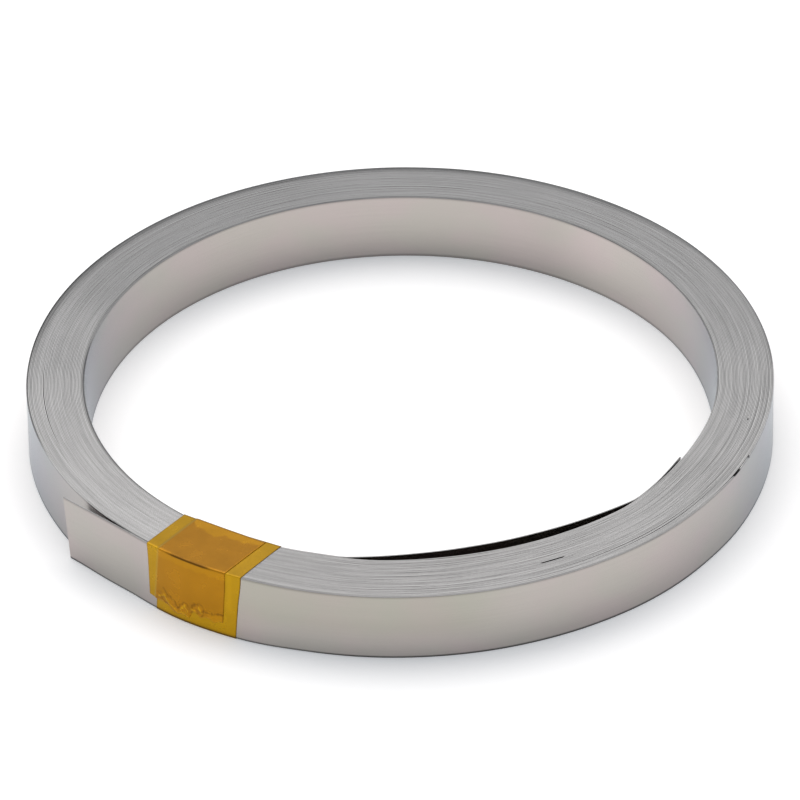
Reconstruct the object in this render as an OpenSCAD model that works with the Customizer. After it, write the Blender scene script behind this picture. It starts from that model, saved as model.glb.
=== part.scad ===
// Nickel strip wound into a flat coil. Its outer end stands free, part of its innermost lap has
// sprung into the bore, and a length of film tape holds the laps together.
// Millimetres. The coil's axis is Z and its lower end lies on z = 0.

/* [Strip] */
// Width of the strip, which is the height of the coil
strip_width = 8; // [4:0.5:25]
// Thickness of the strip
strip_thickness = 0.15; // [0.1:0.01:0.3]

/* [Coil] */
// Diameter of the bore that the strip is wound round
bore_diameter = 69.4; // [40:0.2:120]
// Number of laps
laps = 42; // [16:1:80]
// Air between one lap and the next
lap_gap = 0.002; // [0:0.001:0.02]
// Most that a lap's edge stands above those of the lowest laps
lap_rise = 0.1; // [0.02:0.01:0.3]

/* [Inner end] */
// Direction of the inner end, anticlockwise from +X
inner_end_angle = 331.6; // [300:0.2:350]
// Angle over which the inner end is bent off the bore
inner_end_span = 12; // [6:1:20]
// Distance of the inner end from the bore
inner_end_lift = 0.35; // [0.1:0.05:1]
// Direction of the middle of the sprung stretch
spring_angle = 286; // [270:1:290]
// Angle that the sprung stretch spans
spring_span = 62; // [40:1:64]
// How far the sprung stretch stands into the bore
spring_depth = 1.9; // [1.2:0.1:3]
// How far the laps behind it have followed it
follow_depth = 0.65; // [0.1:0.05:1]
// Angle from the middle of their bulge to that of the sprung stretch
follow_turn = 4; // [0:0.5:6]

/* [Outer end] */
// Length of the outer end that stands free
tail_length = 10; // [4:0.5:25]
// Angle between the free end and the coil where it leaves it
tail_lean = 2; // [1:0.5:6]
// Length by which the free end's upper edge is longer than its lower edge
tail_slant = 0.7; // [0:0.1:2]
// Bound length of the outer lap between the tape and the free end
tail_lead = 2.4; // [1:0.1:10]

/* [Tape] */
// Width of the tape
tape_width = 10.2; // [6:0.1:15]
// Thickness of the tape
tape_thickness = 0.06; // [0.03:0.01:0.15]
// Direction of the middle of the tape
tape_angle = 237; // [225:0.5:240]
// Turn of the tape out of the radial line
tape_skew = -5; // [-8:0.5:8]
// Sideways shift between its under lap and its over lap
tape_shift = 1.75; // [0.5:0.05:3]
// Height of the middle of its serrated end above the lower end of the coil
tape_end_height = 1.6; // [1.5:0.1:4]
// Pitch of the serrations
tooth_pitch = 1.9; // [1:0.1:3]
// Depth of the serrations
tooth_depth = 1; // [0.4:0.1:2]

/* [Hidden] */
$fn = 96;
pitch = strip_thickness + lap_gap;
r_bore = bore_diameter / 2;
r_coil = r_bore + laps * pitch;
r_mid = (r_bore + r_coil) / 2;
coil_height = strip_width + lap_rise;
far = 2 * r_coil;
// Length by which a cut runs on past what it cuts
overrun = strip_width / 8;
// Angle by which a free length of strip runs on into the laps
root = 2;

// Radius of an arc through the two ends of the sprung span on the bore, whose middle stands a depth
// inside the bore
function sprung_radius(depth) = let (
    chord = r_bore * sin(spring_span / 2),
    sag = r_bore * (1 - cos(spring_span / 2)) - depth
) (chord * chord + sag * sag) / (2 * sag);
spring_r = sprung_radius(spring_depth);
follow_r = sprung_radius(follow_depth);
// Point where the inner end leaves the bore, and the angle at which it does
inner_end_root = inner_end_angle - inner_end_span;
inner_end_lean = asin(inner_end_lift / (r_bore * sin(inner_end_span)));

// The tape runs along +X in its own frame, whose origin is on the axis
tape_dir = tape_angle + tape_skew;
tape_y = -r_mid * sin(tape_skew);
tape_half = tape_width / 2;
tail_angle = tape_dir
    + asin((tape_y - tape_half - tape_shift / 2) / r_coil)
    - tail_lead / r_coil * 180 / PI;

// Edge of a lap above the floor: the golden angle spreads the raised laps, and the two laps
// at each side lie on the floor
function rise(i) = i < 2 || i > laps - 3 ? 0 : lap_rise * max(0, sin(137.5 * i));
// Laps whose edge stands at another height than that of the lap inside them
steps = [for (i = [1 : laps - 1]) if (rise(i) != rise(i - 1)) i];

// Sector of a disc from angle a to angle b
module sector(a, b) {
    polygon([[0, 0], for (k = [0 : 2]) let (c = a + (b - a) * k / 2) far * [cos(c), sin(c)]]);
}

// Half of a disc, on the +Y side or the -Y side
module half_disc(r, side) {
    intersection() {
        circle(r);
        translate([-far, side > 0 ? 0 : -far]) square([2 * far, far]);
    }
}

module ring(r, thickness) {
    difference() {
        circle(r + thickness);
        circle(r);
    }
}

// Centre of the sprung stretch's arc
module at_spring() {
    rotate(spring_angle) translate([r_bore - spring_depth - spring_r, 0]) children();
}

// Centre of the arc of the laps that have followed it
module at_follow() {
    rotate(spring_angle - follow_turn) translate([r_bore - follow_depth - follow_r, 0]) children();
}

// Bore as a spiral of two half circles, stepped by one lap at the inner end, less the bulge of the
// laps that have followed the sprung stretch
module bore_outline(inset = 0) {
    intersection() {
        rotate(inner_end_angle) {
            translate([-pitch / 4, 0]) half_disc(r_bore + pitch / 4 - inset, -1);
            translate([pitch / 4, 0]) half_disc(r_bore + 3 * pitch / 4 - inset, 1);
        }
        at_follow() circle(follow_r - inset);
    }
}

// Outside as a spiral of two half circles, stepped by one lap where the outer end leaves it
module outer_outline(outset = 0) {
    rotate(tail_angle) {
        translate([pitch / 4, 0]) half_disc(r_coil - pitch / 4 + outset, 1);
        translate([-pitch / 4, 0]) half_disc(r_coil - 3 * pitch / 4 + outset, -1);
    }
}

// All laps as one turned solid, with each lap's edge at its own height on both ends
module turned_laps() {
    function edge(z) = [for (i = steps) each [
        [r_bore + i * pitch, z + rise(i - 1)],
        [r_bore + i * pitch, z + rise(i)]
    ]];
    lower = edge(0);
    upper = edge(strip_width);
    inside = r_bore - follow_depth - overrun;
    outside = r_coil + overrun;
    rotate_extrude()
        polygon([
            [inside, 0], each lower, [outside, 0],
            [outside, strip_width],
            for (k = [len(upper) - 1 : -1 : 0]) upper[k],
            [inside, strip_width]
        ]);
}

// An outline carried right through the coil from below to above
module through() {
    translate([0, 0, -overrun]) linear_extrude(coil_height + 2 * overrun) children();
}

// Centre of the inner end's arc, which is the bore's arc turned about the root
module at_inner_end() {
    rotate(inner_end_root) translate([r_bore, 0]) rotate(inner_end_lean)
        translate([-r_bore, 0]) children();
}

// Gaps that the sprung stretch and the inner end leave behind them
module free_gaps() {
    intersection() {
        sector(spring_angle - spring_span / 2 - root, spring_angle + spring_span / 2 + root);
        difference() {
            intersection() {
                circle(r_bore + strip_thickness);
                at_follow() circle(follow_r + strip_thickness);
            }
            at_spring() circle(spring_r + strip_thickness);
        }
    }
    intersection() {
        sector(inner_end_root - root, inner_end_angle + root);
        difference() {
            circle(r_bore + strip_thickness);
            at_inner_end() circle(r_bore + strip_thickness);
        }
    }
}

// Laps of the coil without the free lengths of strip
module wound_laps() {
    difference() {
        intersection() {
            turned_laps();
            through() outer_outline();
        }
        through() bore_outline();
        through() free_gaps();
    }
}

// Stretch of the innermost lap that has sprung into the bore
module sprung_stretch() {
    linear_extrude(strip_width) intersection() {
        at_spring() ring(spring_r, strip_thickness);
        sector(spring_angle - spring_span / 2 - root, spring_angle + spring_span / 2 + root);
    }
}

// Inner end of the strip, which leans off the bore
module inner_end() {
    linear_extrude(strip_width) intersection() {
        at_inner_end() ring(r_bore, strip_thickness);
        sector(inner_end_root - root, inner_end_angle);
    }
}

// Outer end of the strip, straight, with its root inside the outer lap and a slanted cut
module tail() {
    rotate(tail_angle) translate([r_coil, 0, 0]) rotate([90, 0, tail_lean - 90])
        linear_extrude(strip_thickness)
            polygon([
                [-r_coil * sin(root), 0], [tail_length - tail_slant / 2, 0],
                [tail_length + tail_slant / 2, strip_width], [-r_coil * sin(root), strip_width]
            ]);
}

module strip() {
    color([0.66, 0.63, 0.59]) difference() {
        union() {
            wound_laps();
            sprung_stretch();
            inner_end();
            tail();
        }
        tape_underside();
    }
}

// Section of the coil grown by the given thickness outside, in the bore and on top
module wrapped(grow, below = 0) {
    translate([0, 0, -below]) linear_extrude(coil_height + grow + below) difference() {
        outer_outline(grow);
        bore_outline(grow);
    }
}

// Tape over the outside, the top and the bore, between two depths and two edges
module tape_band(from, to, left, right) {
    difference() {
        intersection() {
            wrapped(to);
            rotate(tape_dir) translate([0, tape_y + left]) through() square([far, right - left]);
        }
        wrapped(from, overrun);
    }
}

// Serrated end of the tape on the outside: what lies below the teeth is cut away
module torn_off() {
    n = ceil((tape_width + tape_shift) / tooth_pitch) + 1;
    start = -tape_half - tape_shift / 2 - tooth_pitch / 2;
    rotate(tape_dir) translate([r_mid, tape_y, 0]) rotate([90, 0, 90])
        linear_extrude(r_coil)
            polygon([
                [start, -overrun],
                for (k = [0 : n]) each [
                    [start + k * tooth_pitch, tape_end_height - tooth_depth / 2],
                    [start + (k + 0.5) * tooth_pitch, tape_end_height + tooth_depth / 2]
                ],
                [start + (n + 0.5) * tooth_pitch, -overrun]
            ]);
}

// Tape under the coil, where it crosses from the one lap's place to the other's
module tape_underside() {
    linear_extrude(tape_thickness) intersection() {
        difference() {
            outer_outline();
            bore_outline();
        }
        rotate(tape_dir) translate([0, tape_y])
            polygon([
                [r_bore - overrun, -tape_half - tape_shift / 2],
                [r_coil + overrun, -tape_half + tape_shift / 2],
                [r_coil + overrun, tape_half + tape_shift / 2],
                [r_bore - overrun, tape_half - tape_shift / 2]
            ]);
    }
}

module tape() {
    under_left = -tape_half + tape_shift / 2;
    under_right = tape_half + tape_shift / 2;
    over_left = under_left - tape_shift;
    over_right = under_right - tape_shift;
    color([0.72, 0.46, 0.08]) union() {
        tape_band(0, tape_thickness, under_left, under_right);
        difference() {
            union() {
                tape_band(0, tape_thickness, over_left, under_left);
                tape_band(tape_thickness, 2 * tape_thickness, under_left, over_right);
            }
            torn_off();
        }
        tape_underside();
    }
}

strip();
tape();
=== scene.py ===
"""Looks of the nickel strip coil: the strip as it is wound, its film tape, and a plain stage.

Everything is in metres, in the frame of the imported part: the coil's axis is Z, its lower end lies on
z = 0, and angles run anticlockwise from +X as seen from above.
"""

import math
from types import SimpleNamespace

import bpy
import numpy as np
from bpy.props import FloatProperty, FloatVectorProperty, IntProperty, PointerProperty
from mathutils import Matrix, Vector


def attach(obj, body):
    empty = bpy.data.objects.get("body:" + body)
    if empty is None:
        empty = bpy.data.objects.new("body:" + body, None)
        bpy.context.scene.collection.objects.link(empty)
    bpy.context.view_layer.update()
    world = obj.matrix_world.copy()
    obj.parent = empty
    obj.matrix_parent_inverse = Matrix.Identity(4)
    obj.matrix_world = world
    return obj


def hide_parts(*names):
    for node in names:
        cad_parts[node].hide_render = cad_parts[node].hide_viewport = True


bl_info = {
    "name": "Nickel Strip Coil",
    "version": (1, 0, 0),
    "blender": (4, 5, 0),
    "location": "3D View > Sidebar > Strip Coil",
    "description": "Winds a coil of nickel strip, binds it with film tape and sets a plain stage",
    "category": "Add Mesh",
}

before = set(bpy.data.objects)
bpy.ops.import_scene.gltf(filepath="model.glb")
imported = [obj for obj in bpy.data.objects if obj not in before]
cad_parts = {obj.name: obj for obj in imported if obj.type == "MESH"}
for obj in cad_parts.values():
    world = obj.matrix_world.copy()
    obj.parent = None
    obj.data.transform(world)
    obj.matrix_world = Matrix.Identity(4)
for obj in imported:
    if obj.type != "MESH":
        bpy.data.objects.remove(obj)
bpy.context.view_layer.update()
MM = 0.001
TAU = 2 * math.pi
# A distance in metres that nothing on the part reaches
OUT_OF_REACH = 1.0


# Numpy helpers

def smooth_step(low, high, x):
    """0 below low, 1 above high, and 3u^2 - 2u^3 between them, u being the share of the way."""
    u = np.clip((np.asarray(x, float) - low) / (high - low), 0, 1)
    return u * u * (3 - 2 * u)


def soft_min(a, b, width):
    """The smaller of a and b, rounded where they cross: half of a + b - sqrt((a - b)^2 + width^2)."""
    return 0.5 * (a + b - np.sqrt((a - b) ** 2 + width ** 2))


def bell(x, centre, half):
    """A raised cosine, 1 at the centre and 0 from half away from it."""
    u = np.clip(np.abs(x - centre) / half, 0, 1)
    return 0.5 + 0.5 * np.cos(math.pi * u)


def drift(x, seed):
    """Smooth noise from 0 to 1: random values at whole x, joined by smooth steps."""
    x = np.asarray(x, float)
    low = np.floor(x.min())
    knots = np.random.default_rng(seed).random(int(np.ceil(x.max()) - low) + 2)
    cell = (x - low).astype(int)
    u = smooth_step(0, 1, x - low - cell)
    return knots[cell] * (1 - u) + knots[cell + 1] * u


def ripple(x, y, seed):
    """Smooth noise from 0 to 1 over two parameters: random values on a lattice, joined by smooth steps."""
    x, y = np.broadcast_arrays(np.asarray(x, float), np.asarray(y, float))
    i, j = np.floor(x - x.min()).astype(int), np.floor(y - y.min()).astype(int)
    knots = np.random.default_rng(seed).random((i.max() + 2, j.max() + 2))
    u, v = smooth_step(0, 1, x - x.min() - i), smooth_step(0, 1, y - y.min() - j)
    low = knots[i, j] * (1 - u) + knots[i + 1, j] * u
    high = knots[i, j + 1] * (1 - u) + knots[i + 1, j + 1] * u
    return low * (1 - v) + high * v


def turned(x, y, angle):
    """Points x, y turned anticlockwise by an angle."""
    c, s = math.cos(angle), math.sin(angle)
    return x * c - y * s, x * s + y * c


# Meshes

def lay_uv(mesh, name, u, v):
    """Gives the corners of the faces their places u and v."""
    uv = np.stack([u, v], axis=1).ravel().astype(np.float32)
    mesh.uv_layers.new(name=name).data.foreach_set("uv", uv)


def carry(mesh, domain, values):
    """Puts named numbers on a mesh, one for each face or each point."""
    for name, numbers in values.items():
        attribute = mesh.attributes.new(name, "FLOAT", domain)
        attribute.data.foreach_set("value", numbers.ravel().astype(np.float32))


# Node trees

class Wire:
    """An output socket of a shader. Arithmetic on it adds Math nodes."""

    def __init__(self, shader, socket):
        self.shader = shader
        self.socket = socket

    def math(self, operation, *operands):
        """Adds a Math node on the operands."""
        return self.shader.add("ShaderNodeMath", {"operation": operation}, dict(enumerate(operands)))

    def __add__(self, other):
        return self.math("ADD", self, other)

    def __rsub__(self, other):
        return self.math("SUBTRACT", other, self)

    def __mul__(self, other):
        return self.math("MULTIPLY", self, other)

    __radd__ = __add__
    __rmul__ = __mul__

    def span(self, low, high, to_low=0.0, to_high=1.0):
        """Maps low..high smoothly to to_low..to_high."""
        return self.shader.add(
            "ShaderNodeMapRange", {"interpolation_type": "SMOOTHSTEP"},
            {"Value": self, "From Min": low, "From Max": high, "To Min": to_low, "To Max": to_high})


class Shader:
    """A material, or the world, as a tree of nodes."""

    def __init__(self, owner):
        owner.use_nodes = True
        self.tree = owner.node_tree
        self.tree.nodes.clear()

    def add(self, kind, settings=None, sockets=None, out=0):
        """Adds a node: its settings first, then values or wires on its sockets. Returns one output."""
        node = self.tree.nodes.new(kind)
        for name, value in (settings or {}).items():
            setattr(node, name, value)
        for name, value in (sockets or {}).items():
            if isinstance(value, Wire):
                self.tree.links.new(value.socket, node.inputs[name])
            else:
                node.inputs[name].default_value = value
        return Wire(self, node.outputs[out]) if node.outputs else None

    def mix(self, share, first, second):
        """Colour between two colours, by a share."""
        return self.add("ShaderNodeMix", {"data_type": "RGBA"},
                        {0: share, 6: colour4(first), 7: colour4(second)}, out=2)

    def toned(self, share, colour, factors):
        """A colour times three factors, by a share."""
        return self.add("ShaderNodeMix", {"data_type": "RGBA", "blend_type": "MULTIPLY"},
                        {0: share, 6: colour, 7: colour4(factors)}, out=2)

    def noise(self, vector, per_metre, detail, roughness=0.5):
        """Smooth noise from 0 to 1 at a vector times a number of knots per metre on each axis."""
        place = self.add("ShaderNodeMapping", {"vector_type": "POINT"},
                         {"Vector": vector, "Scale": per_metre})
        return self.add("ShaderNodeTexNoise", {"noise_dimensions": "3D"},
                        {"Vector": place, "Scale": 1.0, "Detail": detail, "Roughness": roughness})

    def attribute(self, name):
        """A number that the mesh carries."""
        return self.add("ShaderNodeAttribute", {"attribute_name": name}, out=2)


def colour4(value):
    """A colour with its alpha, or a wire as it is."""
    return value if isinstance(value, Wire) else (*value[:3], 1.0)


def material(name):
    """A new material and its tree of nodes."""
    made = bpy.data.materials.new(name)
    return made, Shader(made)


# Settings

def length_setting(name, description, millimetres):
    """A length in metres, with its default given in millimetres."""
    return FloatProperty(name=name, description=description, unit="LENGTH", default=millimetres * MM)


def angle_setting(name, description, degrees):
    """An angle in radians, with its default given in degrees."""
    return FloatProperty(name=name, description=description, subtype="ANGLE", default=math.radians(degrees))


def colour_setting(name, description, default):
    """A colour as shares of red, green and blue."""
    return FloatVectorProperty(name=name, description=description, subtype="COLOR", size=3, default=default)


class StripSettings(bpy.types.PropertyGroup):
    """Sizes of the wound strip and colours of the metal."""

    width: length_setting("Width", "Width of the strip", 8)
    thickness: length_setting("Thickness", "Thickness of the strip", 0.15)
    bore_radius: length_setting("Bore radius", "Radius that the strip is wound on", 34.7)
    outer_radius: length_setting("Outer radius", "Radius where the outer end leaves the coil", 41.08)
    laps: IntProperty(name="Laps", description="Whole laps of strip", default=41)
    lap_rise: length_setting("Lap rise", "Most that a lap's edge stands above the lowest", 0.06)
    edge_fall: length_setting("Edge fall", "Fall of the upper slit edge towards the outside", 0.004)
    edge_round: length_setting("Edge rounding", "Bevel along the slit edges", 0.022)
    inner_angle: angle_setting("Inner end", "Direction of the inner end", 331.6)
    inner_span: angle_setting("Inner end span", "Angle over which the inner end leans", 12)
    inner_lift: length_setting("Inner end lift", "Distance of the inner end from the bore", 0.2)
    spring_angle: angle_setting("Sprung stretch", "Direction of the middle of the sprung stretch", 286)
    spring_span: angle_setting("Sprung span", "Angle that the sprung stretch spans", 62)
    spring_depth: length_setting("Sprung depth", "How far it stands into the bore", 1.9)
    backing_depth: length_setting("Backing depth", "How far the next lap follows it", 0.65)
    backing_laps: IntProperty(name="Backing laps", description="Laps over which that dies out", default=36)
    backing_turn: angle_setting("Backing turn", "Angle from its middle to that of the sprung stretch", 4)
    tail_angle: angle_setting("Outer end", "Direction where the outer end leaves the coil", 225)
    tail_length: length_setting("Free length", "Length of the free outer end", 10)
    tail_lean: angle_setting("Lean", "Angle at which the outer end leaves the coil", 2)
    tail_slant: length_setting("Slant", "Slant of the cut across the outer end", 0.5)
    colour: colour_setting("Metal", "Colour of the rolled faces", (0.47, 0.43, 0.41))
    edge_colour: colour_setting("Slit edges", "Colour of the slit edges", (0.274, 0.275, 0.278))


class TapeSettings(bpy.types.PropertyGroup):
    """Sizes and colours of the film tape."""

    width: length_setting("Width", "Width of the tape", 10.2)
    thickness: length_setting("Thickness", "Thickness of the film", 0.06)
    angle: angle_setting("Place", "Direction of the middle of the tape", 237)
    skew: angle_setting("Skew", "Turn of the tape out of the radial line", -5)
    shift: length_setting("Shift", "Sideways shift between its two laps", 1.75)
    first_drift: length_setting("First drift", "Sideways drift of the first lap down the outside", 0.5)
    last_taper: FloatProperty(name="Last taper", description="Share by which the torn end is narrower",
                              subtype="FACTOR", default=0.05)
    colour: colour_setting("Film", "Colour of one layer on the metal", (0.53, 0.295, 0.006))
    double_colour: colour_setting("Double film", "Colour of two layers on the metal", (0.475, 0.21, 0.006))
    loose_colour: colour_setting("Loose film", "Colour over trapped air", (0.60, 0.285, 0.005))
    # Colour of the dark cut edges, and of the painted shade in folds, creases and at the foot
    cut_edge_and_shade_colour: colour_setting("Creases", "Colour of cut edges, folds and creases", (0.11, 0.045, 0.002))


class StageSettings(bpy.types.PropertyGroup):
    """Camera, floor and light."""

    distance: length_setting("Distance", "Distance of the camera from its target", 930.62)
    elevation: angle_setting("Elevation", "Height of the camera as an angle", 35.343)
    roll: angle_setting("Roll", "Turn of the camera about its line of sight", -0.864)
    target: FloatVectorProperty(name="Target", description="Point in the middle of the picture",
                                subtype="TRANSLATION", size=3, default=(-0.08 * MM, 0.8 * MM, 4 * MM))
    lens: FloatProperty(name="Lens", description="Focal length in millimetres", default=379.8)
    floor_colour: colour_setting("Floor", "Colour of the floor", (0.94, 0.94, 0.94))
    floor_lift: FloatProperty(name="Floor lift", description="White added to the floor as it is seen",
                              default=0.24)
    sky: FloatProperty(name="Sky", description="Strength of the light from all round", default=0.48)
    key: FloatProperty(name="Key light", description="Power of the key light in watts", default=62.5)


# The strip

# Openings between two laps: direction, half its length, in degrees, the lap that they start at, and width
LAP_GAPS = (
    (309, 22, 34.0, 0.06 * MM),
    (313, 15, 36.0, 0.06 * MM),
    (331, 9, 40.6, 0.06 * MM),
    (187, 16, 29.0, 0.05 * MM),
)
# Looser winding on one side: how far the outermost lap stands out, its direction and half its length, in
# degrees
SLACK = 0.14 * MM
SLACK_MIDDLE = 175
SLACK_HALF = 50
# Places where the innermost laps bulge into the bore: direction, half its length, in degrees, and depth
BORE_BULGES = (
    (250.5, 16, 0.5 * MM),
    (331, 22, 0.28 * MM),
)
# Places where the innermost lap's lower edge leans into the bore: direction, half its length, in degrees,
# and reach. The lean dies out over the last part of that lap.
LEANING_LAP = (
    (170, 58, 0.46 * MM),
    (5, 30, 0.33 * MM),
)
LEAN_ENDS = 0.93, 1
# Nicks in the upper edge: direction, half its length, in degrees, lap, half the laps across, the share by
# which it is darker, and depth
EDGE_NICKS = (
    (294.7, 2.1, 24.1, 0.5, 0.95, 0.20 * MM),
    (345.9, 0.2, 27.96, 0.6, 0.9, 0.20 * MM),
    (336.5, 0.2, 40.98, 0.5, 0.9, 0.20 * MM),
    (332.0, 1.2, 41.0, 0.9, 0.95, 0.12 * MM),
)
# Marks on the upper edge: the same without a depth. A mark is lighter where its share is below 0. The broad
# ones, across many laps, are painted light and shade on the top: mostly darker towards the back and lighter
# at the left front and the right.
EDGE_MARKS_AND_PAINTED_LIGHT = (
    (328, 4, 0, 0.5, 0.7),
    (100, 85, 41, 2.6, 0.32),
    (110, 70, 41, 4.4, 0.2),
    (105, 75, 41, 7, 0.14),
    (27, 30, 40.8, 1.0, 0.5),
    (168, 34, 40.5, 0.9, 0.62),
    (130, 60, 41, 5, 0.1),
    (140, 45, 20, 26, 0.06),
    (262, 22, 20, 26, 0.05),
    (268, 60, 41, 1.8, 0.22),
    (130, 100, 0.8, 1.4, 0.3),
    (194, 42, 20, 30, -0.16),
    (350, 20, 20, 30, -0.07),
    (206, 42, 0.35, 0.5, 0.6),
    (227, 8, 40.3, 0.5, 0.55),
    (216, 10, 41.32, 0.3, 0.2),
    (22, 38, 0.85, 0.5, 0.45),
    (345, 16, 20.96, 0.5, 0.22),
    (343, 14, 23.96, 0.5, 0.2),
    (341, 18, 31.97, 0.5, 0.26),
    (338, 24, 34.97, 0.5, 0.26),
    (346, 22, 37.96, 0.5, 0.24),
    (340, 26, 38.97, 0.5, -0.14),
    (342, 20, 33.0, 0.5, -0.12),
)
# Lower edges of the outer laps, which lean outwards at the tape: reach, direction, half the angle where it
# is full and where it ends, in degrees, and the lap inside where it starts
FOOT_LEAN = 0.27 * MM
FOOT_MIDDLE = 240
FOOT_FULL, FOOT_HALF = 5, 16
FOOT_FIRST_LAP = 20
# How far the free outer end's foot turns in, and the share of its length from which it does and its cut
# slants
TAIL_TURN_IN = 0.25 * MM
TAIL_PLAIN = 0.3
# Smooth noises in the brightness of the upper edge: strength, distance of their knots, and seed
EDGE_NOISES = (0.15, 2 * MM, 5), (0.15, 6 * MM, 6), (0.17, 90 * MM, 7)
# They are calmer at the back: by which share, direction, and half the angle, in degrees
CALMER, CALM_MIDDLE, CALM_HALF = 0.6, 110, 90
# Brightness of the profile's eight sides, which is lower on the bevels as painted shade in the grooves
# between laps, and of the two cut ends
SIDE_TONES = np.tile([1, 0.55], 4)
CUT_END_TONE = 0.8
# Rings along each lap, and along the free outer end
STEPS_PER_LAP = 256
TAIL_STEPS = 24
# Angle on each side of the tape over which the laps settle on the film, in degrees, and the room for the
# film under them, in thicknesses of film
PRESSED_HALF = 34
FILM_ROOM = 1.15
# Widths over which the sprung stretch and the inner end run into the spiral
SPRING_ROUND = 0.05 * MM
END_ROUND = 0.03 * MM
# Knots per metre in the noises of the rolled faces: lines along and round the strip, and clouds
LINES_PER_METRE = (60, 9000, 1)
CLOUDS_PER_METRE = (110, 110, 150)
# Tones of the rolled faces, as factors on their colour: two clouds, a darker, yellower patch on the outside
# beside the tape, and a brighter stretch of the bore that is painted light, with the direction of its middle
CLOUDS = (0.979, 1.009, 0.973), (1.018, 0.991, 0.997)
TAPE_SIDE_TINT = (0.89, 0.92, 0.865)
BORE_PAINTED_LIGHT = (1.18, 1.16, 1.17)
BORE_PAINTED_LIGHT_MIDDLE = math.radians(35)
# Colour of the dark band along the faces' foot and top rim, partly burr and partly painted shade, and tint
# of the metal at a glancing view
BURR_AND_SHADE_COLOUR = (0.06, 0.06, 0.058)
GLANCING_TINT = (0.73, 0.79, 0.85, 1.0)


def bearing(angle, degrees):
    """Difference of an angle from a direction, in degrees, from -180 to 180."""
    return (np.degrees(angle) - degrees + 180) % 360 - 180


def plateau(x, half):
    """1 near 0, falling smoothly to 0 over the last quarter of the half length."""
    return 1 - smooth_step(0.75 * half, half, np.abs(x))


def waves(places, angle):
    """Sum of raised cosines at the given directions, each with its half length and height."""
    return sum(height * bell(bearing(angle, degrees), 0, half) for degrees, half, height in places)


def foot_lean(angle):
    """How far the outermost lap's lower edge leans outwards: full near the tape, with a smooth step to 0 on
    both sides."""
    return FOOT_LEAN * (1 - smooth_step(FOOT_FULL, FOOT_HALF, np.abs(bearing(angle, FOOT_MIDDLE))))


def lap_pitch(strip):
    """Growth in radius per lap, from the bore to where the outer end leaves the coil."""
    return (strip.outer_radius - strip.thickness - strip.bore_radius) / (root_turn(strip) / TAU)


def root_turn(strip):
    """Angle wound from the inner end to where the outer end leaves the coil."""
    return strip.laps * TAU + (strip.inner_angle - strip.tail_angle) % TAU


def film_allowance(tape):
    """Room for one layer of film under the coil."""
    return FILM_ROOM * tape.thickness


def mark_turns(strip):
    """Angles wound at the ends of each nick, on each lap that it crosses."""
    for degrees, half, middle, across, *_ in EDGE_NICKS:
        first = (math.degrees(strip.inner_angle) - degrees) % 360
        lap = first / 360 + np.arange(strip.laps + 1)
        lap = lap[np.abs(lap - middle) < across]
        yield np.radians(360 * lap[:, None] + half * np.array([-1, -0.75, 0, 0.75, 1])).ravel()


def arc_radius(centre, radius, off):
    """Distance from the axis, at an angle off the line of centres, of a circle with its centre off the axis:
    c cos(off) + sqrt(radius^2 - (c sin(off))^2)."""
    return centre * np.cos(off) + np.sqrt(radius ** 2 - (centre * np.sin(off)) ** 2)


def strip_path(strip):
    """Inner face of the strip seen from above, from its inner end to its outer end, as a function of
    the angle wound.

    The radius grows by one pitch per lap, plus the slack and the openings. The laps follow the sprung arc by
    a share of its depth, and bulge into the bore at some places, both dying out evenly over the laps. On the
    first lap the radius is the smallest of that spiral, of an arc through two points of the bore (the sprung
    stretch) and of a line that falls inwards to the inner end. Past the root of the outer end it is a
    straight line, r cos(lean) / cos(angle + lean).
    """
    root = root_turn(strip)
    root_radius = strip.outer_radius - strip.thickness
    lean = strip.tail_lean
    reach = strip.tail_length + root_radius * math.sin(lean)
    tail = math.atan2(reach, root_radius * math.cos(lean)) - lean
    wound = np.unique(np.concatenate([np.arange(0, root, TAU / STEPS_PER_LAP), *mark_turns(strip)]))
    turn = np.concatenate([wound, root + tail * np.linspace(0, 1, TAIL_STEPS + 1)])
    angle = strip.inner_angle - turn
    lap = turn / TAU
    radius = strip.bore_radius + lap_pitch(strip) * lap
    radius = radius + SLACK * bell(bearing(angle, SLACK_MIDDLE), 0, SLACK_HALF) * lap / strip.laps
    for degrees, half, first_lap, opening in LAP_GAPS:
        radius = radius + opening * bell(bearing(angle, degrees), 0, half) * (lap > first_lap - 0.5)

    half = strip.spring_span / 2
    sag = strip.bore_radius * (1 - math.cos(half)) - strip.spring_depth
    arc = ((strip.bore_radius * math.sin(half)) ** 2 + sag ** 2) / (2 * sag)
    centre = strip.bore_radius - strip.spring_depth - arc
    off = np.radians(bearing(angle, math.degrees(strip.spring_angle)))
    sprung = arc_radius(centre, arc, off)
    sag = strip.bore_radius - arc_radius(centre, arc, off + strip.backing_turn)
    sag = np.clip(sag, 0, None) / strip.spring_depth
    follow = np.clip(1 - (lap - 1) / strip.backing_laps, 0, 1)
    bulge = waves(BORE_BULGES, angle)
    radius = radius - (strip.backing_depth * sag + bulge) * follow
    sprung = np.where((lap < 0.5) & (np.abs(off) < strip.spring_span), sprung, OUT_OF_REACH)
    lifted = strip.bore_radius - bulge + strip.inner_lift * (turn / strip.inner_span - 1)
    radius = soft_min(soft_min(radius, sprung, SPRING_ROUND), lifted, END_ROUND)

    past = np.clip(turn - root, 0, None)
    straight = root_radius * math.cos(lean) / np.cos(past + lean)
    radius = np.where(turn > root, straight, radius)
    return turn, np.stack([radius * np.cos(angle), radius * np.sin(angle)], axis=1)


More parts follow.
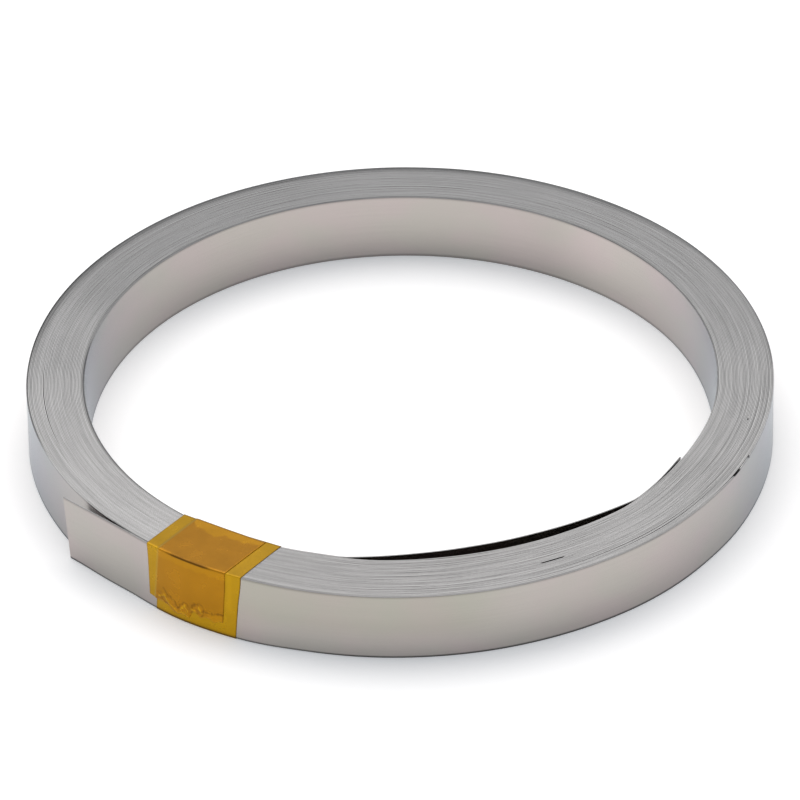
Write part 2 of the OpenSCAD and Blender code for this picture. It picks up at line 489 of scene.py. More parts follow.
def edge_heights(strip, tape, turn):
    """Heights of the strip's lower and upper edge along it.

    Both rise together by the square of a smooth noise with knots a 13th and a 60th of a lap apart, and
    flatten towards the tape, where the coil lies on one layer of film. Nicks lower the upper edge.
    """
    angle = strip.inner_angle - turn
    lap = turn / TAU
    rise = strip.lap_rise * (0.45 * drift(lap * 13, 3) + 0.45 * drift(lap * 60, 4)) ** 2
    pressed = bell(bearing(angle, math.degrees(tape.angle)), 0, PRESSED_HALF)
    held = smooth_step(0, 0.6, pressed)
    low = rise * (1 - held) + film_allowance(tape) * held
    high = strip.width + low
    for degrees, half, middle, across, _, depth in EDGE_NICKS:
        high = high - depth * plateau(bearing(angle, degrees), half) * plateau(lap - middle, across)
    return low, high


def edge_tones(strip, turn, length):
    """Brightness of the upper edge along the strip: 1 plus smooth noises about 0, which are calmer at the
    back, times 1 less the share of each nick or mark that lies there. The broad marks paint light and shade."""
    angle = strip.inner_angle - turn
    strength = 1 - CALMER * bell(bearing(angle, CALM_MIDDLE), 0, CALM_HALF)
    noise = sum(height * (drift(length / step, seed) - 0.5) for height, step, seed in EDGE_NOISES)
    tone = 1 + strength * noise
    for degrees, half, middle, across, share in (*(nick[:5] for nick in EDGE_NICKS), *EDGE_MARKS_AND_PAINTED_LIGHT):
        near = plateau(bearing(angle, degrees), half)
        tone = tone * (1 - share * near * plateau(turn / TAU - middle, across))
    return tone


def strip_surface(strip, tape):
    """A rectangle with bevelled corners carried along the path: each ring is the path's point plus the
    outward normal times the depth, with the edges' heights. Towards the lower edge the innermost lap leans
    inwards, the outer laps lean outwards at the tape, and the outer end turns in. The outer end's rings
    shear along the strip, so that its cut slants. Returns points, and for each ring the length along the
    strip and the brightness of the upper edge."""
    turn, path = strip_path(strip)
    low, high = edge_heights(strip, tape, turn)
    along = np.gradient(path, axis=0)
    along /= np.linalg.norm(along, axis=1, keepdims=True)
    outward = np.stack([-along[:, 1], along[:, 0]], axis=1)
    b, t = strip.edge_round, strip.thickness
    depth = np.array([0, 0, b, t - b, t, t, t - b, b])
    raised = np.array([0, 1, 1, 1, 1, 0, 0, 0], bool)
    fall = strip.edge_fall
    inset = np.array([b, -b, 0, -fall, -b - fall, b, 0, 0])
    z = np.where(raised, high[:, None], low[:, None]) + inset
    root = root_turn(strip)
    free = smooth_step(TAIL_PLAIN, 1, (turn - root) / (turn[-1] - root))
    shear = strip.tail_slant * free[:, None] * (z / strip.width - 0.5)
    angle, lap = strip.inner_angle - turn, turn / TAU
    outer_share = np.clip((lap - FOOT_FIRST_LAP) / (strip.laps - FOOT_FIRST_LAP), 0, 1)
    lean = waves(LEANING_LAP, angle) * (1 - smooth_step(*LEAN_ENDS, lap))
    lean = lean - foot_lean(angle) * outer_share + TAIL_TURN_IN * free
    out = depth - lean[:, None] * (1 - z / strip.width)
    xy = path[:, None] + outward[:, None] * out[..., None] + along[:, None] * shear[..., None]
    length = np.concatenate([[0], np.cumsum(np.linalg.norm(np.diff(path, axis=0), axis=1))])
    return np.concatenate([xy, z[..., None]], axis=2), length, edge_tones(strip, turn, length)


def tube_mesh(name, rings, length, girth, tones):
    """A closed mesh from rings of points, with a cap on each end. U is the length along it and V the
    length round it. The face attribute slit_edge is 1 off the two wide sides, and edge_tone is the
    brightness there, which is low on the bevels as painted shade in the grooves between laps."""
    n, k = rings.shape[:2]
    ring, side = np.meshgrid(np.arange(n - 1), np.arange(k), indexing="ij")
    after = (side + 1) % k
    quads = np.stack([ring * k + side, ring * k + after, (ring + 1) * k + after, (ring + 1) * k + side],
                     axis=-1).reshape(-1, 4)
    caps = [list(range(k))[::-1], list(range((n - 1) * k, n * k))]
    mesh = bpy.data.meshes.new(name)
    mesh.from_pydata(rings.reshape(-1, 3).tolist(), [], quads.tolist() + caps)
    mesh.update()

    u = np.stack([length[ring], length[ring], length[ring + 1], length[ring + 1]], axis=-1)
    v = np.stack([girth[side], girth[side + 1], girth[side + 1], girth[side]], axis=-1)
    cap_u = np.repeat(length[[0, -1]], k)
    cap_v = np.concatenate([girth[:k][::-1], girth[:k]])
    lay_uv(mesh, "along_and_round", np.concatenate([u.ravel(), cap_u]), np.concatenate([v.ravel(), cap_v]))

    wide = np.isin(side.ravel(), (0, 4))
    slit = np.concatenate([1.0 - wide, [1.0, 1.0]])
    tone = (0.5 * (tones[:-1] + tones[1:]))[:, None] * SIDE_TONES
    tone = np.concatenate([tone.ravel(), [CUT_END_TONE] * 2])
    carry(mesh, "FACE", {"slit_edge": slit, "edge_tone": tone})

    ends = np.empty(len(mesh.edges) * 2, np.int32)
    mesh.edges.foreach_get("vertices", ends)
    ends = ends.reshape(-1, 2)
    lengthwise = ends[:, 0] // k != ends[:, 1] // k
    on_cap = np.isin(ends // k, (0, n - 1)).all(axis=1)
    mesh.edges.foreach_set("use_edge_sharp", lengthwise | on_cap)
    mesh.polygons.foreach_set("use_smooth", np.ones(len(mesh.polygons), bool))
    mesh.update()
    return mesh


def nickel_material(strip):
    """Bright rolled nickel: fine lines along the strip, faint warm and cool clouds, a darker, yellower patch
    beside the tape, a brighter stretch of the bore that is painted light, a dark band along the foot and the
    rim of the faces that is partly burr and partly painted shade, and duller slit edges."""
    made, sh = material("rolled_nickel")
    uv = sh.add("ShaderNodeUVMap", {"uv_map": "along_and_round"})
    place = sh.add("ShaderNodeTexCoord", out=3)
    slit = sh.attribute("slit_edge")
    lines = sh.noise(uv, LINES_PER_METRE, 4.0, 0.6)
    cloud = sh.noise(place, CLOUDS_PER_METRE, 2.0)
    tone = sh.attribute("edge_tone")
    tints = ([c * f for c, f in zip(strip.colour, factors)] for factors in CLOUDS)
    clouded = sh.mix(cloud.span(0.35, 0.65), *tints)
    face = sh.mix(lines.span(0.2, 0.8), sh.mix(0.06, clouded, (0, 0, 0)), clouded)
    x, y, height = (sh.add("ShaderNodeSeparateXYZ", None, {"Vector": place}, out=i) for i in range(3))
    middle = 0.5 * (strip.bore_radius + strip.outer_radius)
    outside = (x * x + y * y).span((middle - 1 * MM) ** 2, (middle + 1 * MM) ** 2)
    # A darker, yellower patch on the outside beside the tape, at mid height
    tape_side_tint = (outside * x.span(-28 * MM, -18 * MM) * x.span(4 * MM, 14 * MM, 1.0, 0.0)
            * y.span(-32 * MM, -28 * MM, 1.0, 0.0) * height.span(1.5 * MM, 4.5 * MM))
    # A brighter stretch of the bore's inner wall, towards the direction of its middle: painted light
    towards = x * math.cos(BORE_PAINTED_LIGHT_MIDDLE) + y * math.sin(BORE_PAINTED_LIGHT_MIDDLE)
    bore_painted_light = (1 - outside) * towards.span(31 * MM, 34.6 * MM)
    face = sh.toned(bore_painted_light, sh.toned(tape_side_tint, face, TAPE_SIDE_TINT), BORE_PAINTED_LIGHT)
    # A dark band at the foot and just below the top rim: partly burr and partly painted shade, the contact
    # shade at the foot and the shadow line between laps at the rim
    burr_and_shade = (0.96 * outside * height.span(0.10 * MM, 0.36 * MM, 1.0, 0.0)
            + 0.44 * (1 - outside) * height.span(0.12 * MM, 0.48 * MM, 1.0, 0.0)
            + 0.36 * height.span(strip.width - 0.30 * MM, strip.width + 0.02 * MM))
    face = sh.mix(burr_and_shade, face, BURR_AND_SHADE_COLOUR)
    edge = sh.add("ShaderNodeVectorMath", {"operation": "SCALE"},
                  {0: strip.edge_colour[:], "Scale": tone})
    colour = sh.mix(slit, face, edge)
    rough = (0.18 + 0.08 * lines) * (1 - slit) + 0.42 * slit
    bump = sh.add("ShaderNodeBump", None,
                  {"Height": lines * (1 - slit), "Strength": 0.08, "Distance": 0.02 * MM})
    shader = sh.add("ShaderNodeBsdfPrincipled", None, {
        "Base Color": colour, "Metallic": 1.0, "Roughness": rough, "Normal": bump,
        "Specular Tint": GLANCING_TINT})
    sh.add("ShaderNodeOutputMaterial", None, {"Surface": shader})
    return made


class COIL_OT_wind_strip(bpy.types.Operator):
    """Winds the strip from its inner end to its free outer end"""

    bl_idname = "strip_coil.wind_strip"
    bl_label = "Wind Strip"

    def execute(self, context):
        strip, tape = context.scene.coil_strip, context.scene.coil_tape
        rings, length, tones = strip_surface(strip, tape)
        profile = rings[0]
        girth = np.concatenate([[0], np.cumsum(np.linalg.norm(
            np.roll(profile, -1, axis=0) - profile, axis=1))])
        mesh = tube_mesh("wound_strip", rings, length, girth, tones)
        mesh.materials.append(nickel_material(strip))
        place_piece(mesh, "strip")
        return {"FINISHED"}


# The tape

# Torn end of the film on the outside of the coil: place across the tape, and height
TORN_END = np.array([
    (-6.2, 1.60), (-5.7, 1.60), (-4.8, 1.45), (-3.7, 1.55), (-3.0, 1.40), (-2.35, 0.90), (-1.7, 0.80),
    (-0.85, 1.10), (-0.25, 0.80), (0.05, 1.50), (0.45, 1.95), (0.8, 1.70), (1.3, 1.35), (1.85, 1.70),
    (2.45, 1.65), (2.9, 1.30), (3.65, 1.75), (4.4, 1.60),
]) * MM
# Folds near the torn end, each as points of place across the tape and height: folded in, which are only
# painted as shade, and standing out, which are raised and carry a painted highlight
CREASED_IN = [np.array(points) * MM for points in (
    [(-3.75, 3.35), (-3.0, 2.70), (-2.05, 2.15), (-1.65, 1.65), (-1.1, 2.40), (-0.7, 2.60), (-0.3, 2.30)],
    [(-4.5, 2.55), (-3.95, 2.15), (-3.3, 1.50), (-2.9, 1.60)],
    [(-2.75, 0.95), (-2.2, 0.80), (-1.55, 0.80), (-0.6, 1.00), (-0.2, 0.80)],
    [(0.1, 2.35), (0.6, 2.95), (1.1, 3.15), (1.6, 2.80), (1.7, 2.30), (1.45, 1.70)],
    [(-0.1, 1.60), (0.3, 1.80), (0.85, 1.85)],
    [(2.0, 2.40), (2.7, 2.35), (3.45, 2.60), (4.05, 2.70)],
)]
STANDING_OUT = [np.array(points) * MM for points in (
    [(-4.2, 2.0), (-3.5, 2.45), (-2.85, 1.60), (-2.2, 1.30), (-1.65, 1.00), (-1.15, 1.20), (-0.6, 1.30),
     (-0.25, 0.90)],
    [(-1.4, 1.40), (-0.85, 2.20), (-0.35, 1.50)],
    [(0.05, 2.10), (0.45, 2.10), (0.45, 1.60)],
    [(1.1, 2.70), (1.2, 2.20), (1.45, 1.95)],
)]
# Half the width of those folds, how far they wander off their lines, and how far they stand off the film
CREASE_HALF = 0.15 * MM
RIDGE_HALF = 0.16 * MM
FOLD_WANDER = 0.28 * MM
FOLD_RISE = 0.05 * MM
# Film that has not stuck at the bore's upper edge: place across the tape, and how far it reaches outwards
LOOSE_EDGE = np.array([
    (-4.4, 0.0), (-4.2, 0.6), (-3.4, 1.2), (-2.2, 1.4), (-0.8, 1.7), (0.1, 1.0), (2.1, 1.2), (4.0, 0.7),
    (4.2, 0.0),
]) * MM
# Columns across the film, steps along it, which are finer at the torn end, and points on each corner
TAPE_COLUMNS = 136
TAPE_STEP = 0.2 * MM
TORN_STEP = 0.1 * MM
CORNER_POINTS = 5
# Radius of the film's bends, and height of its start above the coil's lower end
BEND = 0.05 * MM
FIRST_START = 0.4 * MM
# Share of the way from the bore's curve to a straight line that the film is pulled to
FILM_TAUT = 0.9
# Distance over which the second lap comes down from the first lap's edge, and waviness of the cut edges
STEP_DOWN = 0.35 * MM
CUT_WAVE = 0.22 * MM
# Distance of the film's middle from the coil, and what a lap below adds, in thicknesses of film
LIES_OFF = 0.55
LAP_OVER = 1.08
# Knots per metre in the film's mottle, along it and across it
MOTTLE_PER_METRE = (450, 450, 1)
# Places on each lap of film
BORE, TOP, OUTSIDE, UNDER = range(4)


def section_run(strip, tape):
    """The film's way round the coil's section, seen along the strip, as rows of: distance outwards from the
    bore, height, outward direction, lap of film and place on that lap.

    It starts low in the bore, goes up, over the top and down the outside, passes under the coil and goes
    round once more. Straight runs have equal steps and each corner is a quarter circle.
    """
    wide = strip.outer_radius - strip.bore_radius
    low, high = film_allowance(tape), strip.width + film_allowance(tape)
    rows = []

    def add(points, normals, lap, side):
        """Adds rows on one lap and place."""
        rows.append(np.column_stack([points, normals, np.full((len(points), 2), (lap, side))]))

    def run(a, b, normal, lap, side, step=TAPE_STEP):
        """Adds a straight run from a to b."""
        n = max(int(math.dist(a, b) / step), 2)
        u = np.linspace(0, 1, n)[:, None]
        add(np.array(a) * (1 - u) + np.array(b) * u, np.tile(normal, (n, 1)), lap, side)

    def corner(centre, start, lap, side):
        """Adds a quarter circle that turns clockwise from the start angle, without its ends."""
        turn = start - np.radians(np.linspace(15, 75, CORNER_POINTS))
        normals = np.column_stack([np.cos(turn), np.sin(turn)])
        add(np.array(centre) + BEND * normals, normals, lap, side)

    for lap in (1, 2):
        run((0, low + (FIRST_START if lap == 1 else BEND)), (0, high - BEND), (-1, 0), lap, BORE)
        corner((BEND, high - BEND), math.pi, lap, BORE)
        run((BEND, high), (wide - BEND, high), (0, 1), lap, TOP)
        corner((wide - BEND, high - BEND), math.pi / 2, lap, TOP)
        run((wide, high - BEND), (wide, low + BEND), (1, 0), lap, OUTSIDE,
            TAPE_STEP if lap == 1 else TORN_STEP)
        if lap == 1:
            corner((wide - BEND, low + BEND), 0, lap, UNDER)
            run((wide - BEND, low), (BEND, low), (0, -1), lap, UNDER)
            corner((BEND, low + BEND), -math.pi / 2, 2, UNDER)
    return np.vstack(rows), wide, low, high


def near_line(x, y, points, half):
    """1 on the line through the points and 0 from half away: a bell of the least distance to its pieces."""
    start, step = points[:-1], np.diff(points, axis=0)
    from_x, from_y = x[..., None] - start[:, 0], y[..., None] - start[:, 1]
    share = np.clip((from_x * step[:, 0] + from_y * step[:, 1]) / (step ** 2).sum(axis=1), 0, 1)
    distance = np.hypot(from_x - share * step[:, 0], from_y - share * step[:, 1]).min(axis=-1)
    return bell(distance, 0, half)


def tape_shift(tape, lap, side, share, down):
    """Sideways place of the tape's middle line along its way: the first lap lies on one side and drifts back
    down the outside, the way under the coil leads over to the other side, and the second lap stays there."""
    half = tape.shift / 2
    down = down * (side == OUTSIDE)
    first = half - tape.first_drift * down
    under = -half + (tape.shift - tape.first_drift) * share
    return np.select([side == UNDER, lap == 1], [under, first], -half)


def torn_folds(y, z, above_end, there):
    """Folds near the torn end, where the film is there, as shares from 0 to 1: a ripple of wrinkles and how
    crumpled the film is, then the folds folded in, where shade is painted, and those standing out, which get
    a painted highlight. These two are the largest near_line of their lines, at places that smooth noise has
    moved."""
    wrinkle = ripple(y / (0.5 * MM), above_end / (0.3 * MM) + 0.6 * np.sin(y / (0.35 * MM)), 12)
    crumpled = there * bell(above_end, 0.7 * MM, 1.1 * MM) * (1 - smooth_step(1.6 * MM, 2.6 * MM, y))
    off_y, off_z = (FOLD_WANDER * (ripple(y / (0.24 * MM), z / (0.2 * MM), seed) - 0.5)
                    for seed in (15, 16))
    crease_shade, ridges_with_highlight = (
        there * np.max([near_line(y + off_y, z + off_z, line, half) for line in lines], axis=0)
        for lines, half in ((CREASED_IN, CREASE_HALF), (STANDING_OUT, RIDGE_HALF)))
    return wrinkle, crumpled, crease_shade, ridges_with_highlight


def film_shape(strip, tape):
    """The film as a grid: rows along its way round the section, columns across its width.

    A column lies at a distance y beside the radius that the tape is parallel to, so the wall that it meets
    there is sqrt(R^2 - y^2) out along that radius. In the bore the film is pulled nearly straight from edge
    to edge, and on the outside it leans with the laps. Its distance from the coil is about half its
    thickness on the first lap and one thickness more where the second lies on the first, plus the folds.
    The end of the second lap follows the torn line. Returns the points and what film_looks reads.
    """
    rows, wide, low, high = section_run(strip, tape)
    out, height, facing_out, facing_up, lap, side = rows.T
    across = np.linspace(-0.5, 0.5, TAPE_COLUMNS + 1) * tape.width
    share = out / wide
    length = np.concatenate([[0], np.cumsum(np.linalg.norm(np.diff(rows[:, :2], axis=0), axis=1))])
    down = np.clip((high - height) / (high - low), 0, 1)
    last_wall = ((lap == 2) & (side == OUTSIDE))[:, None]
    y = across * (1 - tape.last_taper * down[:, None] * last_wall)
    y = y + tape_shift(tape, lap, side, share, down)[:, None]
    y = y + CUT_WAVE * (drift(length / (3 * MM), 11) - 0.5)[:, None] * np.abs(across) / tape.width
    beside = y - 0.5 * (strip.bore_radius + strip.outer_radius) * math.sin(tape.skew)

    heading = tape.angle + tape.skew
    inner = np.sqrt(strip.bore_radius ** 2 - beside ** 2)
    inner = inner - waves(BORE_BULGES, heading + np.arcsin(beside / strip.bore_radius))
    chord = inner[:, :1] + (inner[:, -1:] - inner[:, :1]) * (across / tape.width + 0.5)
    inner = inner + FILM_TAUT * (chord - inner)
    torn = np.interp(y, TORN_END[:, 0], TORN_END[:, 1])
    reach = np.clip((high - BEND - height) / (high - low - 2 * BEND), 0, 1)[:, None]
    z = np.where(last_wall, high - BEND - reach * (high - BEND - torn), height[:, None])
    above_end = np.where(last_wall, z - torn, OUT_OF_REACH)
    lean = foot_lean(heading + np.arcsin(beside / strip.outer_radius)) * (1 - z / strip.width)
    outer = np.sqrt(strip.outer_radius ** 2 - beside ** 2) + lean

    first_edge = (tape_shift(tape, 1, side, share, down) - tape.width / 2)[:, None]
    covers = ((lap == 2) & (side < UNDER))[:, None] & ((side > BORE)[:, None] | (z > low + FIRST_START))
    over = smooth_step(first_edge - STEP_DOWN, first_edge, y) * covers
    wrinkle, crumpled, crease_shade, ridges_with_highlight = torn_folds(y, z, above_end, last_wall * over)
    off = (LIES_OFF + LAP_OVER * over) * tape.thickness + FOLD_RISE * (wrinkle * crumpled + ridges_with_highlight)
    x = inner + (outer - inner) * share[:, None] + facing_out[:, None] * off
    z = z + facing_up[:, None] * off
    return SimpleNamespace(
        points=np.stack([*turned(x, beside, heading), z], axis=-1), length=length, across=across, y=y, z=z,
        out=out, height=height, facing_up=facing_up, lap=lap, side=side, share=share, high=high,
        last_wall=last_wall, above_end=above_end, over=over, wrinkle=wrinkle, crumpled=crumpled,
        crease_shade=crease_shade, ridges_with_highlight=ridges_with_highlight)


def film_looks(tape, film):
    """A value for each point and look: layers of film, loose film with a painted highlight along the torn
    end, cut edges with painted shade, and how bright the metal below shows with painted light and shade on
    it.
    Each is a sum of bells and smooth steps of the place across the film, its height and the length along it."""
    y, z, over, last_wall = film.y, film.z, film.over, film.last_wall
    wall = (film.side == OUTSIDE)[:, None]
    first_top, first_wall, last_top = (((film.lap == lap) & (film.side == side))[:, None]
                                       for lap, side in ((1, TOP), (1, OUTSIDE), (2, TOP)))

    # Loose: a wavy patch at the bore's upper edge, below the fold, right of the torn end and along it. Along
    # the torn end it is partly loose film and partly a painted highlight
    wave = 0.25 * MM * (ripple(y / (0.6 * MM), 0 * z, 13) - 0.5)
    patch = np.interp(y, LOOSE_EDGE[:, 0], LOOSE_EDGE[:, 1]) + wave
    patch = last_top * (1 - smooth_step(-0.12 * MM, 0.12 * MM, film.out[:, None] - patch))
    below_fold = 0.35 * last_wall * smooth_step(film.high - 1.0 * MM, film.high - 0.7 * MM, z + wave)
    flap = 0.5 * last_wall * smooth_step(1.9 * MM, 2.5 * MM, y) * (1 - smooth_step(2.3 * MM, 2.6 * MM, z))
    # Along the torn end this is partly lifted, loose film and partly a painted highlight on the lifted edge
    loose_and_highlight = np.clip(patch + (below_fold + flap + bell(film.above_end, 0, 0.25 * MM)) * over, 0, 1)

    # Dark: cut edges, painted shade in the fold at the top's outer edge, at the foot and in the folds and
    # crumples at the torn end, and a dark line along the bend into the bore
    cut_edge = 1 - smooth_step(0.03 * MM, 0.14 * MM, tape.width / 2 - np.abs(film.across))
    cut_edge = cut_edge * np.where(last_top, 0, 0.8)
    cut_edge = cut_edge * (1 - 0.6 * last_wall * smooth_step(1.5 * MM, 3.5 * MM, z))
    past_fold = (film.length - film.length[last_wall[:, 0]][0])[:, None]
    # Painted shade along the fold at the top's outer edge
    fold_shade = bell(past_fold, -0.01 * MM, (0.10 + 0.05 * ripple(y / (0.4 * MM), 0 * z, 14)) * MM) * over
    fold_shade = fold_shade * (1 - 0.8 * smooth_step(1.4 * MM, 2.8 * MM, y)) * smooth_step(-4 * MM, -2 * MM, y)
    bend = (bell(film.out, 0, 0.10 * MM) * (film.height > film.high - 0.3 * MM))[:, None]
    # Painted contact shade at the foot of the film on the outside
    foot_shade = wall * (1 - smooth_step(0.16 * MM, 0.40 * MM, z))
    # Painted shade in the crumples and in the folds pressed in at the torn end
    cut_edges_and_painted_shade = 0.25 * film.crumpled * smooth_step(0.5, 0.75, film.wrinkle) + 0.52 * film.crease_shade
    cut_edges_and_painted_shade = np.clip(0.5 * cut_edge + 0.95 * fold_shade + 0.5 * bend + foot_shade + cut_edges_and_painted_shade, 0, 1)

    # Backing: dimmer over the slit edges, light margins and a lighter low wall, with painted shade at the
    # foot, a painted glint above the fold and painted highlights on the ridges
    taut = 1 - plateau(y - 0.1 * MM, 2.6 * MM)
    glint = bell(past_fold, -0.16 * MM, 0.14 * MM) * taut * (film.lap == 2)[:, None]
    margin = (first_wall * bell(y, 4.7 * MM, 0.5 * MM) * smooth_step(2.6 * MM, 4 * MM, z)
              + first_top * (bell(film.share[:, None], 0.5, 0.45) + 0.7 * bell(y, 4.45 * MM, 0.25 * MM))
              + 1.5 * last_top * bell(y, 4.25 * MM, 0.3 * MM))
    low_wall = wall * (1 - smooth_step(0.5 * MM, 3.5 * MM, z))
    backing_and_painted_light = (1 - 0.405 * np.clip(film.facing_up, 0, 1)[:, None] - 0.05 * wall) * (1 - 0.55 * foot_shade)
    backing_and_painted_light = backing_and_painted_light * (1 + 0.2 * film.ridges_with_highlight + 0.6 * glint + 0.1 * margin + 0.16 * low_wall)
    # Less at the ridges, which shifts them to the lighter colour of one layer as a painted highlight
    layers = over * (1 - 0.08 * film.ridges_with_highlight)
    return {"layers": layers, "loose_and_highlight": loose_and_highlight, "cut_edges_and_painted_shade": cut_edges_and_painted_shade, "backing_and_painted_light": backing_and_painted_light}


def film_mesh(name, points, length, across, values):
    """A grid of quads with U along the film and V across it, and one float attribute for each value."""
    n, k = points.shape[:2]
    row, column = np.meshgrid(np.arange(n - 1), np.arange(k - 1), indexing="ij")
    first = row * k + column
    quads = np.stack([first, first + 1, first + k + 1, first + k], axis=-1).reshape(-1, 4)
    mesh = bpy.data.meshes.new(name)
    mesh.from_pydata(points.reshape(-1, 3).tolist(), [], quads.tolist())
    mesh.update()
    u, v = np.repeat(length, k)[quads], np.tile(across, n)[quads]
    lay_uv(mesh, "along_and_across", u.ravel(), v.ravel())
    carry(mesh, "POINT", values)
    mesh.polygons.foreach_set("use_smooth", np.ones(len(mesh.polygons), bool))
    mesh.update()
    return mesh


def film_material(tape):
    """Amber film stuck on metal: deeper where two layers lie on each other, lighter where it is loose, dark
    at its cut edges, with painted shade in its folds, creases and foot and painted highlights on its ridges,
    above the fold and along the torn end, and dimmer over the slit edges than over the bright walls."""
    made, sh = material("amber_film")
    uv = sh.add("ShaderNodeUVMap", {"uv_map": "along_and_across"})
    mottle = sh.noise(uv, MOTTLE_PER_METRE, 3.0)
    film = sh.mix(sh.attribute("layers").span(0.9, 1.0), tape.colour, tape.double_colour)
    film = sh.mix(sh.attribute("loose_and_highlight"), film, tape.loose_colour)
    film = sh.mix(sh.attribute("cut_edges_and_painted_shade"), film, tape.cut_edge_and_shade_colour)
    film = sh.add("ShaderNodeVectorMath", {"operation": "SCALE"},
                  {0: film, "Scale": sh.attribute("backing_and_painted_light") * (0.88 + 0.24 * mottle)})
    bump = sh.add("ShaderNodeBump", None, {"Height": mottle, "Strength": 0.12, "Distance": 0.05 * MM})
    shader = sh.add("ShaderNodeBsdfPrincipled", None, {
        "Base Color": film, "Metallic": 0.6, "Roughness": 0.2 + 0.12 * mottle, "Coat Weight": 0.06,
        "Coat Roughness": 0.1, "Specular IOR Level": 0.08, "Normal": bump})
    sh.add("ShaderNodeOutputMaterial", None, {"Surface": shader})
    return made


class COIL_OT_wrap_tape(bpy.types.Operator):
    """Wraps the film tape twice round the coil's section"""

    bl_idname = "strip_coil.wrap_tape"
    bl_label = "Wrap Tape"

    def execute(self, context):
        strip, tape = context.scene.coil_strip, context.scene.coil_tape
        film = film_shape(strip, tape)
        mesh = film_mesh("film_tape", film.points, film.length, film.across, film_looks(tape, film))
        mesh.materials.append(film_material(tape))
        piece = place_piece(mesh, "tape")
        solid = piece.modifiers.new("film_thickness", "SOLIDIFY")
        solid.thickness = tape.thickness
        solid.offset = 0.0
        return {"FINISHED"}


def place_piece(mesh, node):
    """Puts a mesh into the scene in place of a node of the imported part."""
    piece = bpy.data.objects.new(mesh.name, mesh)
    bpy.context.scene.collection.objects.link(piece)
    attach(piece, "root")
    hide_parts(node)
    return piece


# The stage

# Tints of the light from all round and of the key light
SKY_TINT = (0.90, 0.955, 1.03)
KEY_TINT = (1.03, 0.98, 0.935)
# Place of the key light, the point that it is aimed at, and its size, in metres
KEY_PLACE = (-0.25, 1.15, 2.45)
KEY_AIM = (-0.25, 0, 0)
KEY_SIZE = (3.75, 2.375)
# Half the side of the floor, nearest and farthest distance that the camera sees, and its sensor's width in
# millimetres
FLOOR_HALF = 3.0
NEAREST, FARTHEST = 0.01, 20.0
SENSOR_WIDTH = 36.0


def seen_directly(sh):
    """1 for rays from the camera, also by way of mirrors and glass, and 0 for light on matt surfaces."""
    camera, glossy, through, matt = (
        sh.add("ShaderNodeLightPath", out=ray)
        for ray in ("Is Camera Ray", "Is Glossy Ray", "Is Transmission Ray", "Diffuse Depth"))
    shown = camera.math("MAXIMUM", camera, camera.math("MAXIMUM", glossy, through))
    return shown * (1 - matt.math("MINIMUM", matt, 1.0))


def floor_material(stage):
    """Matt pale floor, lifted to white where it is seen directly. It keeps its shadows."""
    made, sh = material("pale_floor")
    matt = sh.add("ShaderNodeBsdfDiffuse", None, {"Color": (*stage.floor_colour, 1.0)})
    lift = sh.add("ShaderNodeEmission", None, {"Strength": seen_directly(sh) * stage.floor_lift})
    shader = sh.add("ShaderNodeAddShader", None, {0: matt, 1: lift})
    sh.add("ShaderNodeOutputMaterial", None, {"Surface": shader})
    return made


def area_light(name, place, aim, size, power):
    """Adds a rectangular lamp at a place, aimed at a point."""
    light = bpy.data.lights.new(name, "AREA")
    light.shape = "RECTANGLE"
    light.size, light.size_y = size
    light.energy = power
    light.color = KEY_TINT
    lamp = bpy.data.objects.new(name, light)
    bpy.context.scene.collection.objects.link(lamp)
    lamp.location = place
    lamp.rotation_euler = (Vector(aim) - Vector(place)).to_track_quat("-Z", "Y").to_euler()


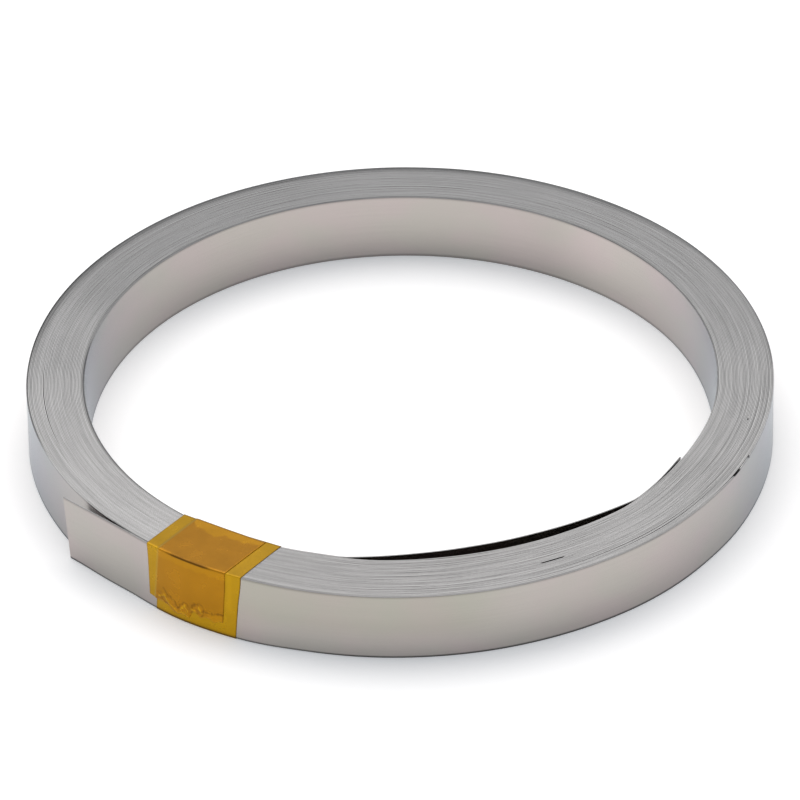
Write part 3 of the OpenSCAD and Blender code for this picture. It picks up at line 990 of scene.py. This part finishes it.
class COIL_OT_set_stage(bpy.types.Operator):
    """Sets the camera, the floor and the light"""

    bl_idname = "strip_coil.set_stage"
    bl_label = "Set Stage"

    def execute(self, context):
        scene, stage = context.scene, context.scene.coil_stage
        camera = bpy.data.objects.new("camera", bpy.data.cameras.new("camera"))
        scene.collection.objects.link(camera)
        camera.data.lens = stage.lens
        camera.data.sensor_width = SENSOR_WIDTH
        camera.data.clip_start = NEAREST
        camera.data.clip_end = FARTHEST
        target = Vector(stage.target)
        back = Vector((0, -math.cos(stage.elevation), math.sin(stage.elevation)))
        look = (-back).to_track_quat("-Z", "Y").to_matrix().to_4x4()
        camera.matrix_world = (Matrix.Translation(target + back * stage.distance) @ look
                               @ Matrix.Rotation(stage.roll, 4, "Z"))
        scene.camera = camera

        mesh = bpy.data.meshes.new("floor")
        corners = ((-1, -1), (1, -1), (1, 1), (-1, 1))
        mesh.from_pydata([(FLOOR_HALF * x, FLOOR_HALF * y, 0) for x, y in corners], [], [(0, 1, 2, 3)])
        mesh.materials.append(floor_material(stage))
        floor = bpy.data.objects.new("floor", mesh)
        scene.collection.objects.link(floor)

        world = bpy.data.worlds.new("studio")
        scene.world = world
        sh = Shader(world)
        direct = seen_directly(sh)
        strength = stage.sky + (1 - stage.sky) * direct
        tint = sh.mix(direct, SKY_TINT, (1, 1, 1))
        sky = sh.add("ShaderNodeBackground", None, {"Color": tint, "Strength": strength})
        sh.add("ShaderNodeOutputWorld", None, {"Surface": sky})

        area_light("key_light", KEY_PLACE, KEY_AIM, KEY_SIZE, stage.key)
        scene.view_settings.view_transform = "Standard"
        return {"FINISHED"}


class COIL_PT_sidebar(bpy.types.Panel):
    """Lists the coil's operators and settings"""

    bl_idname = "COIL_PT_sidebar"
    bl_label = "Strip Coil"
    bl_space_type = "VIEW_3D"
    bl_region_type = "UI"
    bl_category = "Strip Coil"

    def draw(self, context):
        for operator, settings in ((COIL_OT_wind_strip, context.scene.coil_strip),
                                   (COIL_OT_wrap_tape, context.scene.coil_tape),
                                   (COIL_OT_set_stage, context.scene.coil_stage)):
            box = self.layout.box()
            box.operator(operator.bl_idname)
            for name in settings.__annotations__:
                box.prop(settings, name)


CLASSES = (StripSettings, TapeSettings, StageSettings, COIL_OT_wind_strip, COIL_OT_wrap_tape,
           COIL_OT_set_stage, COIL_PT_sidebar)


def register():
    """Registers the classes and their settings."""
    for cls in CLASSES:
        bpy.utils.register_class(cls)
    bpy.types.Scene.coil_strip = PointerProperty(type=StripSettings)
    bpy.types.Scene.coil_tape = PointerProperty(type=TapeSettings)
    bpy.types.Scene.coil_stage = PointerProperty(type=StageSettings)


def unregister():
    """Takes the settings and classes away again."""
    del bpy.types.Scene.coil_stage, bpy.types.Scene.coil_tape, bpy.types.Scene.coil_strip
    for cls in reversed(CLASSES):
        bpy.utils.unregister_class(cls)


def main():
    """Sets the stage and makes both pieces."""
    register()
    bpy.ops.strip_coil.set_stage()
    bpy.ops.strip_coil.wind_strip()
    bpy.ops.strip_coil.wrap_tape()


if __name__ == "__main__":
    main()
